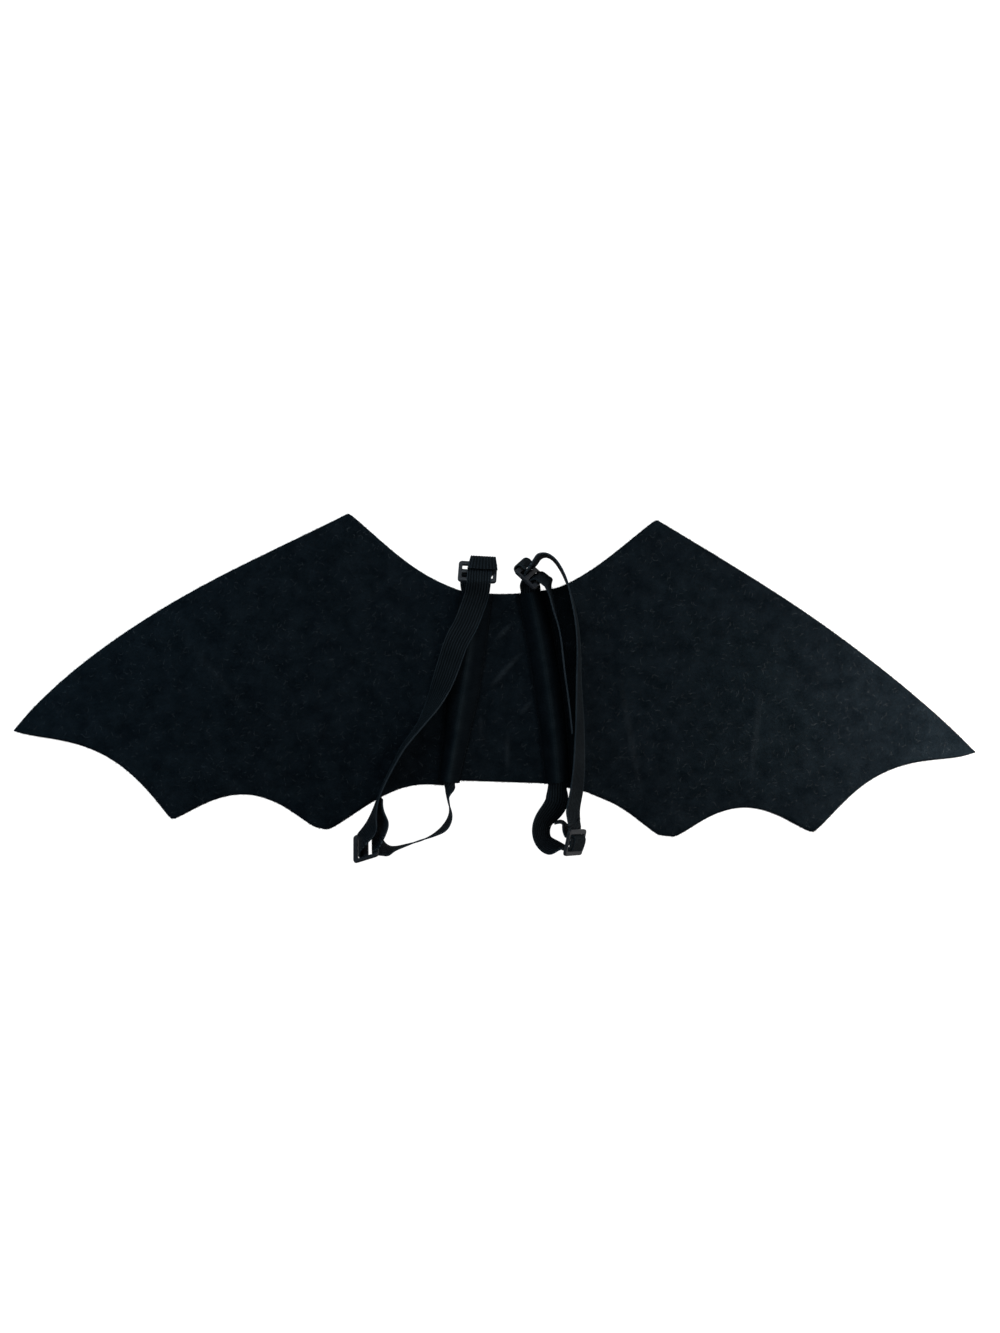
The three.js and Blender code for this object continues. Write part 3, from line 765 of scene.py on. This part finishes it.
def felt_base(x, y):
    """Height of the felt's underside."""
    slow = 0.5 + 0.5 * noise.noise(Vector((x / RIPPLE_LENGTH, y / RIPPLE_LENGTH, RIPPLE_SEED)))
    return lift(x, y) + RIPPLE * slow * min(1.0, (abs(x) + RIPPLE_START) / RIPPLE_FULL) + crease(x, y)


def felt_columns():
    """Places along the span with a row of points, one at each corner."""
    corners = sorted({end["x"] for end in UPPER_EDGE + LOWER_EDGE})
    columns = [float(corners[0])]
    for a, b in zip(corners, corners[1:]):
        steps = math.ceil((b - a) / FELT_STEP)
        columns += [a + (b - a) * s / steps for s in range(1, steps + 1)]
    return columns


def felt_span(x):
    """Lower and upper edge of the felt at x."""
    low, high = eased_edge(LOWER_EDGE, x), eased_edge(UPPER_EDGE, x)
    middle, half = (low + high) / 2, max(TIP_BLUNT, high - low) / 2
    return middle - half, middle + half


def make_felt(material):
    columns = felt_columns()
    places = np.empty((FELT_ROWS + 1, len(columns), 3))
    weights = np.ones((FELT_ROWS + 1, len(columns)))
    for i, x in enumerate(columns):
        low, high = felt_span(x)
        rim = min(CUT_EDGE, RIM_SHARE * (high - low))
        inner = np.linspace(low + rim, high - rim, FELT_ROWS - 1)
        for j, y in enumerate([low, *inner, high]):
            places[j, i] = (x, y, felt_base(x, y))
    weights[[0, -1], :] = CUT_SOFT
    weights[:, [0, -1]] = CUT_SOFT
    weights[[1, -2], 1:-1] = RIM_SOFT
    places[:, :, 2] += (1 - weights) * FELT_THICK / 2
    piece = start_grid("felt_wings", len(columns) - 1, FELT_ROWS)
    along = np.linspace(0, FELT_UV_DEPTH, FELT_ROWS + 1)
    row, column = lay_grid(piece, len(columns) - 1, FELT_ROWS, places, np.array(columns) * MM, along)
    # Crease heights kept on the points, as the mask of the painted highlight along the creases.
    creased = np.array([[crease(x, y) for x, y, z in line] for line in places])
    crease_highlight_mask = piece.data.attributes.new("creased", "FLOAT", "POINT")
    crease_highlight_mask.data.foreach_set("value", creased[row, column].astype(np.float32))
    group = weigh(piece, "cut", weights[row, column])
    thicken(piece, FELT_THICK, 1, group)
    smooth(piece, CLOTH_SMOOTH)
    dress(piece, material, "felt", "wing_panel")
    return piece


# Fibres

def make_fibres(pale, dark):
    """Short loose fibres that lie on the felt's face and stand out of its cut edge."""
    dice = random.Random(FIBRE_SEED)
    points, faces, tones = [], [], []

    def strand(x, y, z, heading, length, width, bend, rise):
        first = len(points)
        for s in range(FIBRE_POINTS):
            share = s / (FIBRE_POINTS - 1) - 0.5
            turn = heading + bend * share
            aside = heading + math.pi / 2
            px = x + math.cos(heading) * length * share + math.cos(aside) * bend * length * share * share
            py = y + math.sin(heading) * length * share + math.sin(aside) * bend * length * share * share
            pz = z + rise * (1 - 4 * share * share)
            ox, oy = -math.sin(turn) * width / 2, math.cos(turn) * width / 2
            points.append((px - ox, py - oy, pz))
            points.append((px + ox, py + oy, pz))
        for s in range(FIBRE_POINTS - 1):
            a = first + 2 * s
            faces.append((a, a + 2, a + 3, a + 1))
        tones.append(0 if dice.random() < PALE_SHARE else 1)

    for n in range(FIBRES_ON_FACE):
        while True:
            x = dice.uniform(-FACE_X, FACE_X)
            y = dice.uniform(FACE_LOW, FACE_HIGH)
            low, high = felt_span(x)
            if low + FACE_MARGIN < y < high - FACE_MARGIN:
                break
        heading = dice.gauss(*FACE_HEADING)
        form = {key: dice.uniform(*span) for key, span in FACE_FIBRES.items()}
        strand(x, y, felt_base(x, y) + FELT_THICK + FACE_CLEAR, heading, **form)
    for n in range(FIBRES_ON_CUT):
        x = dice.uniform(-CUT_X, CUT_X)
        low, high = felt_span(x)
        side = 1 if n % 2 else -1
        y = high if side > 0 else low
        z = felt_base(x, y - side) + dice.uniform(*CUT_HEIGHT)
        heading = dice.gauss(side * CUT_HEADING[0], CUT_HEADING[1])
        form = {key: dice.uniform(*span) for key, span in CUT_FIBRES.items()}
        strand(x, y, z, heading, **form, rise=CUT_FIBRE_RISE)
    piece = joined_mesh("felt_loose_fibres", points, faces)
    piece.data.materials.append(pale)
    piece.data.materials.append(dark)
    slots = np.repeat(tones, FIBRE_POINTS - 1)
    piece.data.polygons.foreach_set("material_index", slots)
    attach(piece, "root")
    return piece


# Sleeves

def sleeve_profile(half, rise):
    """Clear inside of a sleeve across its width: pairs of place and height."""
    foot = half - SLEEVE_HEM
    arch = SLEEVE_ACROSS - 4
    profile = [(-half, 0.0), (-half + SLEEVE_HEM / 2, 0.0)]
    for j in range(arch + 1):
        across = -foot * math.cos(math.pi * j / arch)
        profile.append((across, rise * max(0.0, 1 - (across / foot) ** 2) ** SLEEVE_FULLNESS))
    return profile + [(half - SLEEVE_HEM / 2, 0.0), (half, 0.0)]


def make_sleeve(side, material):
    """A sewn sleeve, and the width and length of its flat cloth in metres."""
    length = (Vector(SLEEVES[side]["hem"]) - Vector(SLEEVES[side]["top"])).length
    steps = math.ceil(length / SLEEVE_STEP)
    places = np.empty((steps + 1, SLEEVE_ACROSS + 1, 3))
    for i in range(steps + 1):
        place, cross, half, rise, curl = sleeve_at(side, i / steps)
        run = i / steps * length
        for j, (across, height) in enumerate(sleeve_profile(half, rise)):
            spot = place + cross * across
            crown = height / rise
            fold = 0.0
            for row in SLEEVE_FOLDS:
                where = Vector((run / row["along"], across / row["across"], row["seed"]))
                fold += noise.noise(where) * row["height"]
            tuck = PUCKER * math.sin(2 * math.pi * run / STITCH_PITCH) * (1 - crown) * (height > 0)
            ridge = SLEEVE_RIDGE * math.exp(-(across / SLEEVE_RIDGE_HALF) ** 2)
            top = height + ridge + max(0.0, fold + FOLD_BIAS) * crown + max(0.0, tuck)
            places[i, j] = (spot.x, spot.y, FELT_THICK + SEAM_GAP + top)
    piece = start_grid(f"sewn_sleeve_{side}", SLEEVE_ACROSS, steps)
    widths = np.cumsum(np.r_[0, np.linalg.norm(np.diff(places[0], axis=0), axis=1)]) * MM
    along = np.linspace(0, length, steps + 1) * MM
    lay_grid(piece, SLEEVE_ACROSS, steps, places, widths - widths[-1] / 2, along)
    thicken(piece, SLEEVE_WALL, 1 if grid_faces_up(piece) else -1)
    smooth(piece, CLOTH_SMOOTH)
    dress(piece, material, "sleeve_cloth", f"strap_sleeve_{side}")
    return piece, widths[-1], length * MM


def grid_faces_up(piece):
    """True if the laid grid's faces point up on the whole."""
    return sum(face.normal.z * face.area for face in piece.data.polygons) > 0


# Slides

def slide_axes(name):
    """Centre of a slide, and its directions along the bars, to the far bar and off its face."""
    row = SLIDES[name]
    b, p, f, t = (math.radians(row[key]) for key in ("bars", "pitch", "far", "tip"))
    along = Vector((math.cos(b) * math.cos(p), math.sin(b) * math.cos(p), math.sin(p)))
    reach = Vector((math.cos(f), math.sin(f), 0))
    reach = (reach - along * reach.dot(along)).normalized()
    reach = Matrix.Rotation(t, 3, along) @ reach
    return Vector((row["x"], row["y"], row["z"])), along, reach, along.cross(reach)


def first_slide():
    """A three-bar slide, flat at the origin: a plate cut along its bars, with its slots opened."""
    size = (SLIDE_WIDTH * MM, SLIDE_LENGTH * MM, SLIDE_THICK * MM)
    bpy.ops.mesh.primitive_cube_add(size=1, scale=size)
    piece = bpy.context.object
    bpy.ops.object.transform_apply(location=True, rotation=True, scale=True)
    slot_end = SLIDE_WIDTH / 2 - SLIDE_RAIL
    slot_far = SLIDE_LENGTH / 2 - SLIDE_BAR
    slot_near = SLIDE_BAR / 2
    cuts = [((1, 0, 0), slot_end), ((1, 0, 0), -slot_end)]
    cuts += [((0, 1, 0), place) for place in (slot_far, slot_near, -slot_near, -slot_far)]
    bpy.ops.object.mode_set(mode="EDIT")
    for normal, place in cuts:
        bpy.ops.mesh.select_all(action="SELECT")
        bpy.ops.mesh.bisect(plane_co=Vector(normal) * place * MM, plane_no=normal)
    for side in (1, -1):
        bpy.ops.mesh.select_all(action="DESELECT")
        bpy.ops.object.mode_set(mode="OBJECT")
        for face in piece.data.polygons:
            across, along = abs(face.center.x), face.center.y * side
            in_slot = across < slot_end * MM and slot_near * MM < along < slot_far * MM
            face.select = in_slot and abs(face.normal.z) > 0.9
        bpy.ops.object.mode_set(mode="EDIT")
        bpy.ops.mesh.select_mode(type="FACE")
        bpy.ops.mesh.bridge_edge_loops()
    bpy.ops.mesh.select_mode(type="EDGE")
    bpy.ops.mesh.select_all(action="DESELECT")
    bpy.ops.object.mode_set(mode="OBJECT")
    corners = piece.data.vertices
    for edge in piece.data.edges:
        a, b = (corners[i].co for i in edge.vertices)
        upright = abs(a.z - b.z) > 0.5 * SLIDE_THICK * MM
        at_end = abs(a.x) > (SLIDE_WIDTH / 2 - SLIDE_NEAR) * MM
        edge.select = upright and at_end and abs(a.y) > (SLIDE_LENGTH / 2 - SLIDE_NEAR) * MM
    bpy.ops.object.mode_set(mode="EDIT")
    bpy.ops.mesh.bevel(offset=SLIDE_CORNER * MM, segments=SLIDE_CORNER_STEPS, affect="EDGES")
    bpy.ops.mesh.select_all(action="SELECT")
    bpy.ops.mesh.normals_make_consistent(inside=False)
    bpy.ops.object.mode_set(mode="OBJECT")
    rounding = piece.modifiers.new("moulded_edges", "BEVEL")
    rounding.width = SLIDE_ROUND * MM
    rounding.segments = SLIDE_ROUND_STEPS
    rounding.limit_method = "ANGLE"
    rounding.angle_limit = math.radians(SLIDE_ROUND_ANGLE)
    apply_all(piece)
    return piece


def make_slides(material):
    flat = first_slide()
    for name in SLIDES:
        choose(flat)
        bpy.ops.object.duplicate()
        piece = bpy.context.object
        piece.name = f"strap_slide_{name}"
        piece.data.name = piece.name
        centre, along, reach, face = slide_axes(name)
        turn = Matrix((along, reach, face)).transposed().to_4x4()
        piece.matrix_world = Matrix.Translation(centre * MM) @ turn
        bpy.ops.object.transform_apply(location=True, rotation=True, scale=True)
        smooth(piece, SLIDE_SMOOTH)
        dress(piece, material, "slide_plastic", f"slide_{name}")
    bpy.data.objects.remove(flat)


# Straps

def curve_point(points, t):
    """A point of the smooth line through the points, t from 0 to 1."""
    last = len(points) - 1
    place = last * t
    k = min(last - 1, max(0, math.floor(place)))
    w = place - k
    b, c = points[k], points[k + 1]
    a = points[k - 1] if k else b * 2 - c
    d = points[k + 2] if k + 2 <= last else c * 2 - b
    ta, tb, tc = (math.sqrt(max(1e-8, (q - p).length)) for p, q in ((a, b), (b, c), (c, d)))
    m = ((b - a) / ta - (c - a) / (ta + tb) + (c - b) / tb) * tb
    n = ((c - b) / tb - (d - b) / (tb + tc) + (d - c) / tc) * tb
    return b + m * w + (b * -3 + c * 3 - m * 2 - n) * w * w + (b * 2 - c * 2 + m + n) * w ** 3


def curve_run(points, t):
    """Direction of that line at t."""
    return (curve_point(points, min(1, t + 1e-4)) - curve_point(points, max(0, t - 1e-4))).normalized()


def eased(values, k, share):
    """A smooth mix of the values at k and k + 1 that also heeds their neighbours."""
    a, b = values[max(0, k - 1)], values[k]
    c, d = values[k + 1], values[min(len(values) - 1, k + 2)]
    m, n = (c - a) * 0.5, (d - b) * 0.5
    square, cube = b * -3 + c * 3 - m * 2 - n, b * 2 - c * 2 + m + n
    return b + m * share + square * share * share + cube * share ** 3


def strap_frames(rows):
    """Frames along a strap, every step or so: middle, way across, face, arch, and whether it runs loose."""
    points = []
    for row in rows:
        if row["slide"]:
            centre, along, reach, face = slide_axes(row["slide"])
            points.append(centre + along * row["aside"] + reach * row["v"] + face * row["w"])
        else:
            points.append(Vector((row["x"], row["y"], row["z"])))
    last = len(rows) - 1
    across = []
    for k, row in enumerate(rows):
        if row["slide"]:
            way = slide_axes(row["slide"])[1]
        else:
            level = Vector((0, 0, 1)).cross(curve_run(points, k / last)).normalized()
            lean = math.radians(row["lean"])
            way = level * math.cos(lean) + Vector((0, 0, 1)) * math.sin(lean)
        if across and way.dot(across[-1]) < 0:
            way = -way
        across.append(way)
    curls = [float(row["curl"]) for row in rows]
    frames = []
    for k in range(last):
        steps = max(1, math.ceil((points[k + 1] - points[k]).length / ELASTIC_STEP))
        for s in range(steps + (k == last - 1)):
            share = s / steps
            at = (k + share) / last
            run = curve_run(points, at)
            way = eased(across, k, share)
            way = (way - run * way.dot(run)).normalized()
            curl = max(0.0, curls[k] + (curls[k + 1] - curls[k]) * share)
            loose = not (rows[k]["slide"] and rows[k + 1]["slide"])
            frames.append((curve_point(points, at), way, run.cross(way), math.radians(curl), loose))
    return frames


def strap_place(frame_row, share):
    """A point of a strap's middle sheet, share from -0.5 to 0.5 across it."""
    middle, way, face, arch, loose = frame_row
    bend = arch if face.z >= 0 else -arch
    if not bend:
        return middle + way * (ELASTIC_WIDTH * share)
    turn = bend * share
    radius = ELASTIC_WIDTH / bend
    return middle + way * (radius * math.sin(turn)) - face * (radius * (1 - math.cos(turn)))


def make_strap(name, frames, material):
    """A ribbed strap along its frames; gives back where its points lie."""
    columns = RIBS * RIB_COLUMNS
    rows = len(frames) - 1
    places = np.array([[strap_place(f, j / columns - 0.5) for j in range(columns + 1)] for f in frames])
    loose = np.array([f[-1] for f in frames])[1:-1, None, None]
    for _ in range(EASE_PASSES):
        places[1:-1] += loose * (places[:-2] + places[2:] - 2 * places[1:-1]) / 4
    steps = [(frames[k + 1][0] - frames[k][0]).length for k in range(rows)]
    run = np.cumsum([0, *steps])
    spread = FLARED_ENDS.get(name, 0) * np.clip(1 - run / FLARE_REACH, 0, 1)
    places += (places - places[:, columns // 2, None]) * spread[:, None, None]
    piece = start_grid(f"ribbed_{name}", columns, rows)
    across = np.linspace(-ELASTIC_WIDTH / 2, ELASTIC_WIDTH / 2, columns + 1) * MM
    row, column = lay_grid(piece, columns, rows, places, across, run * MM)
    phase = (column % RIB_COLUMNS) / RIB_COLUMNS
    weights = RIB_VALLEY + (1 - RIB_VALLEY) * np.abs(np.cos(np.pi * phase)) ** RIB_ROUND
    group = weigh(piece, "ribs", weights)
    thicken(piece, ELASTIC_THICK, 0, group)
    smooth(piece, FINE_SMOOTH)
    dress(piece, material, "elastic", name)
    return places


# Sewing

def first_stitch():
    """One stitch along X, as a slim bead of thread: its points, in millimetres, and triangles."""
    bpy.ops.mesh.primitive_uv_sphere_add(segments=6, ring_count=5, radius=1, rotation=(0, math.pi / 2, 0))
    piece = bpy.context.object
    bpy.ops.object.transform_apply(location=True, rotation=True, scale=True)
    bpy.ops.object.mode_set(mode="EDIT")
    bpy.ops.mesh.select_all(action="SELECT")
    bpy.ops.transform.resize(value=(STITCH_LENGTH / 2, STITCH_HALF_WIDTH, STITCH_HALF_HEIGHT))
    bpy.ops.object.mode_set(mode="OBJECT")
    points = np.array([v.co for v in piece.data.vertices])
    order = np.lexsort(points.round(4).T)  # the sphere's own order differs from run to run
    rank = np.argsort(order)
    faces = []
    for face in piece.data.polygons:
        loop = [int(rank[i]) for i in face.vertices]
        start = loop.index(min(loop))
        first, *rest = loop[start:] + loop[:start]
        faces += [(first, a, b) for a, b in zip(rest, rest[1:])]
    bpy.data.objects.remove(piece)
    return points[order], np.array(sorted(faces))


def add_stitch(stitches, middle, run, out):
    """Adds a stitch at a place, along run and lying on the side that out points to."""
    run = run.normalized()
    out = (out - run * out.dot(run)).normalized()
    turn = np.array([run, out.cross(run), out]).T
    stitches.append((turn, np.array(middle)))


def make_stitches(name, stitches, shape, material, slot):
    """One piece of all these stitches."""
    points, faces = shape
    all_points = np.concatenate([points @ turn.T + place for turn, place in stitches])
    all_faces = np.concatenate([faces + len(points) * n for n in range(len(stitches))])
    piece = joined_mesh(name, all_points, all_faces)
    smooth(piece, FINE_SMOOTH)
    dress(piece, material, slot)
    return piece


def sleeve_stitches(side):
    """Two lines of stitches, down both sewn edges of a sleeve."""
    made = []
    length = (Vector(SLEEVES[side]["hem"]) - Vector(SLEEVES[side]["top"])).length
    count = int((length - SEAM_SHORTER) / STITCH_PITCH)
    height = FELT_THICK + SEAM_GAP + SLEEVE_WALL + SEAM_STITCH_RISE
    for edge in (-1, 1):
        for n in range(count):
            share = (SEAM_START + (n + 0.5) * STITCH_PITCH) / (length + 1)
            ends = []
            for at in (share - SEAM_NUDGE, share + SEAM_NUDGE):
                place, cross, half, rise, curl = sleeve_at(side, at)
                spot = place + cross * (edge * (half - SLEEVE_HEM * SEAM_INSET))
                ends.append(Vector((spot.x, spot.y, height)))
            add_stitch(made, (ends[0] + ends[1]) / 2, ends[1] - ends[0], Vector((0, 0, 1)))
    return made


def end_stitches(laid_straps):
    """Rows of stitches across the sewn ends of the straps, on both faces."""
    made = []
    for row in SEWN_ENDS:
        laid = laid_straps[row["strap"]]
        laid = laid if row["end"] == "first" else laid[::-1]
        middle = laid.shape[1] // 2
        gone = np.cumsum(np.r_[0, np.linalg.norm(np.diff(laid[:, middle], axis=0), axis=1)])
        for n in range(row["rows"]):
            k = int(np.searchsorted(gone, row["inset"] + STITCH_ROW_PITCH * n))
            for j in range(STITCHES_ACROSS):
                column = int((j + 0.5) / STITCHES_ACROSS * (laid.shape[1] - 1))
                across = Vector(laid[k, column + 1] - laid[k, column - 1])
                out = Vector(laid[k + 1, column] - laid[k - 1, column]).cross(across).normalized()
                for face in (1, -1):
                    spot = Vector(laid[k, column]) + out * (face * (ELASTIC_THICK / 2 + END_STITCH_RISE))
                    add_stitch(made, spot, across, out * face)
    return made


# Making the pieces

felt = felt_material()
sleeve_cloth = sleeve_material()
elastic = elastic_material()
plastic = plastic_material()
thread = thread_material()
pale_fibre = fibre_material("pale_felt_fibre", PALE_FIBRE)
dark_fibre = fibre_material("dark_felt_fibre", DARK_FIBRE)

felt_piece = make_felt(felt)
fibres = make_fibres(pale_fibre, dark_fibre)
stitch = first_stitch()
for side in SLEEVES:
    sleeve, width, length = make_sleeve(side, sleeve_cloth)
    seam = make_stitches(f"sleeve_seam_{side}", sleeve_stitches(side), stitch, thread, "sleeve_cloth")
make_slides(plastic)
laid_straps = {name: make_strap(name, strap_frames(rows), elastic) for name, rows in STRAPS.items()}
make_stitches("strap_end_stitches", end_stitches(laid_straps), stitch, thread, "elastic")


# Floor, light and camera

FLOOR_SIZE = 8.0
FLOOR_DROP = 0.0004
FLOOR_GREY = 0.08
FLOOR_GLOW = 1.0
SKY_COLOUR = (0.97, 0.985, 1.0)
SKY_GLOW = 0.47
WARM, WARMER = (1, 0.93, 0.86), (1, 0.91, 0.83)
COOL, COOLER, COLD = (0.95, 0.98, 1), (0.85, 0.95, 1), (0.6, 0.86, 1)

# Area lamps, in metres and watts
LAMPS = {
    "key_from_right": dict(
        place=(0.7, 0.05, 0.8), size=(0.4, 0.4), target=(0.05, 0, 0), power=7.0, colour=WARM),
    "low_lamp_at_right_tip": dict(
        place=(0.48, -0.01, 0.15), size=(0.12, 0.12), target=(0.33, -0.02, 0), power=3.8, colour=WARMER),
    "low_lamp_at_left_tip": dict(
        place=(-0.55, 0.12, 0.2), size=(0.15, 0.15), target=(-0.33, 0, 0), power=1.5, colour=COLD),
    "overhead": dict(
        place=(0.02, 0.0, 1.6), size=(0.4, 0.4), target=(0, 0, 0), power=4, colour=COOL),
    "low_lamp_at_neck": dict(
        place=(0.0, 0.45, 0.2), size=(0.3, 0.15), target=(0, 0.08, 0), power=2.4, colour=COOLER),
    "fill_from_left": dict(
        place=(-0.95, 0.5, 0.9), size=(0.9, 0.9), target=(0, 0, 0), power=7, colour=COLD),
}

# Camera straight above; the span of the wings gives its scale
PHOTO_WIDTH_PX = 1000
PHOTO_SPAN_PX = 957
MM_PER_PX = 2 * WING_HALF_SPAN / PHOTO_SPAN_PX
VIEW_CENTRE = (4.2, 17.1)
VIEW_DISTANCE = 1200
SENSOR_WIDTH = 36


def soft_lamp(name, place, size, target, power, colour):
    bpy.ops.object.light_add(type="AREA", location=place)
    lamp = bpy.context.object
    lamp.name = name
    lamp.data.shape = "RECTANGLE"
    lamp.data.size, lamp.data.size_y = size
    lamp.data.energy = power
    lamp.data.color = colour
    lamp.rotation_euler = (Vector(target) - Vector(place)).to_track_quat("-Z", "Y").to_euler()


bpy.ops.mesh.primitive_plane_add(size=FLOOR_SIZE, location=(0, 0, -FLOOR_DROP))
floor = bpy.context.object
floor.name = "pale_floor"
floor_paint, floor_shader, *_ = fresh_material("pale_floor_paint")
floor_shader.inputs["Base Color"].default_value = (*grey(FLOOR_GREY), 1)
finished(floor_shader, roughness=0.8, specular=0.0)
floor_shader.inputs["Emission Color"].default_value = (1, 1, 1, 1)
floor_shader.inputs["Emission Strength"].default_value = FLOOR_GLOW
floor.data.materials.append(floor_paint)

scene = bpy.context.scene
scene.view_settings.view_transform = "Standard"
world = bpy.data.worlds.new("soft_studio")
world.use_nodes = True
sky = world.node_tree.nodes["Background"]
sky.inputs["Color"].default_value = (*SKY_COLOUR, 1)
sky.inputs["Strength"].default_value = SKY_GLOW
scene.world = world
for name, lamp in LAMPS.items():
    soft_lamp(name, **lamp)

view_from = [length * MM for length in (*VIEW_CENTRE, VIEW_DISTANCE)]
bpy.ops.object.camera_add(location=view_from, rotation=(0, 0, 0))
camera = bpy.context.object
camera.name = "overhead_camera"
camera.data.sensor_fit = "HORIZONTAL"
camera.data.sensor_width = SENSOR_WIDTH
camera.data.lens = SENSOR_WIDTH * VIEW_DISTANCE / (PHOTO_WIDTH_PX * MM_PER_PX)
camera.data.clip_start = 0.01
scene.camera = camera
